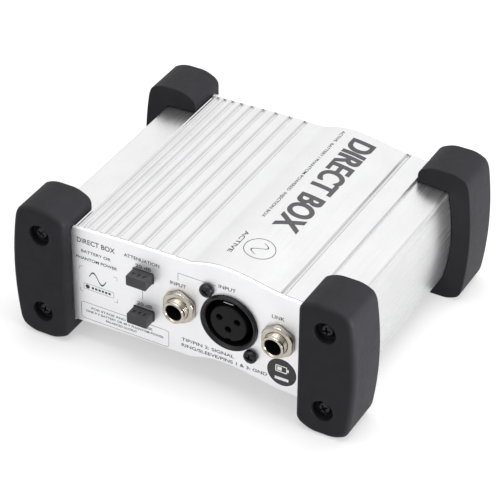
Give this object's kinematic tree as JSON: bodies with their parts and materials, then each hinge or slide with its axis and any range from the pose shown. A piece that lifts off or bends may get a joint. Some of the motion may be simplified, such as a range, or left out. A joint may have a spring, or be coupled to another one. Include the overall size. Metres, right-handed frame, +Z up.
{
  "type": "direct injection box",
  "caption": "Active direct injection box: grooved aluminium sleeve with a raised wave, rubber corner guards, jack and XLR sockets, push switches.",
  "frame": {"origin": "on the surface the box stands on, under the middle of its outline", "axes": "+X to the right along the input panel, +Y from the input panel to the output panel, +Z up"},
  "size_m": [0.149, 0.1216, 0.06],
  "materials": {
    "anodised_aluminium": "clear-anodised satin aluminium extrusion",
    "panel_finish": "satin silver lacquer on sheet aluminium",
    "guard_rubber": "matte charcoal moulded rubber",
    "black_steel": "black oxide screws, satin",
    "black_metal": "black satin die-cast shell",
    "nickel_plate": "warm polished nickel plate",
    "switch_cap_plastic": "dark grey satin moulding",
    "black_plastic": "black satin moulding",
    "bright_steel": "bright steel strip",
    "board_laminate": "green solder mask over glass laminate",
    "copper_winding": "enamelled copper wire",
    "red_lens": "clear red moulded lens",
    "red_insulation": "red wire insulation",
    "grey_insulation": "grey ribbon insulation",
    "capacitor_sleeve": "dark blue shrink sleeve",
    "battery_case": "plain dark printed steel jacket"
  },
  "bodies": {
    "enclosure": {"amplifier_chip_front": "black_plastic", "amplifier_chip_rear": "black_plastic", "attenuator_board": "board_laminate", "attenuator_lower_switch": "black_plastic", "attenuator_ribbon": "grey_insulation", "attenuator_upper_switch": "black_plastic", "battery": "battery_case", "battery_bracket": "bright_steel", "battery_lead_negative": "black_plastic", "battery_lead_positive": "red_insulation", "battery_snap": "black_plastic", "capacitor_1": "capacitor_sleeve", "capacitor_2": "capacitor_sleeve", "capacitor_3": "capacitor_sleeve", "corner_guard_front_left": "guard_rubber", "corner_guard_front_right": "guard_rubber", "corner_guard_rear_left": "guard_rubber", "corner_guard_rear_right": "guard_rubber", "enclosure_sleeve": "anodised_aluminium", "front_panel": "panel_finish", "ground_lift_switch": "black_plastic", "guard_screw_front_left_lower": "black_steel", "guard_screw_front_left_upper": "black_steel", "guard_screw_front_right_lower": "black_steel", "guard_screw_front_right_upper": "black_steel", "guard_screw_rear_left_lower": "black_steel", "guard_screw_rear_left_upper": "black_steel", "guard_screw_rear_right_lower": "black_steel", "guard_screw_rear_right_upper": "black_steel", "input_jack_ferrule": "nickel_plate", "input_jack_housing": "black_plastic", "input_jack_nut": "nickel_plate", "input_xlr_insert": "black_plastic", "input_xlr_retaining_spring": "bright_steel", "input_xlr_screw_lower": "black_steel", "input_xlr_screw_upper": "black_steel", "input_xlr_shell": "black_metal", "link_jack_ferrule": "nickel_plate", "link_jack_housing": "black_plastic", "link_jack_nut": "nickel_plate", "main_board": "board_laminate", "output_xlr_insulator": "black_plastic", "output_xlr_pin_1": "nickel_plate", "output_xlr_pin_2": "nickel_plate", "output_xlr_pin_3": "nickel_plate", "output_xlr_screw_lower": "black_steel", "output_xlr_screw_upper": "black_steel", "output_xlr_shell": "black_metal", "power_switch": "black_plastic", "rear_panel": "panel_finish", "status_led": "red_lens", "transformer_core": "bright_steel", "transformer_winding": "copper_winding"},
    "attenuator_upper_button": {"attenuator_upper_cap": "switch_cap_plastic"},
    "attenuator_lower_button": {"attenuator_lower_cap": "switch_cap_plastic"},
    "ground_lift_button": {"ground_lift_cap": "switch_cap_plastic"},
    "power_button": {"power_cap": "switch_cap_plastic"}
  },
  "joints": [
    {"name": "attenuator_upper_press", "type": "slide", "parent": "enclosure", "child": "attenuator_upper_button", "axis": [0, 1, 0], "range_m": [0, 0.0025], "stiffness_N_per_m": 400, "springref_m": -0.001},
    {"name": "attenuator_lower_press", "type": "slide", "parent": "enclosure", "child": "attenuator_lower_button", "axis": [0, 1, 0], "range_m": [0, 0.0025], "stiffness_N_per_m": 400, "springref_m": -0.001},
    {"name": "ground_lift_press", "type": "slide", "parent": "enclosure", "child": "ground_lift_button", "axis": [0, -1, 0], "range_m": [0, 0.0025], "stiffness_N_per_m": 400, "springref_m": -0.001},
    {"name": "power_press", "type": "slide", "parent": "enclosure", "child": "power_button", "axis": [0, -1, 0], "range_m": [0, 0.0025], "stiffness_N_per_m": 400, "springref_m": -0.001}
  ]
}
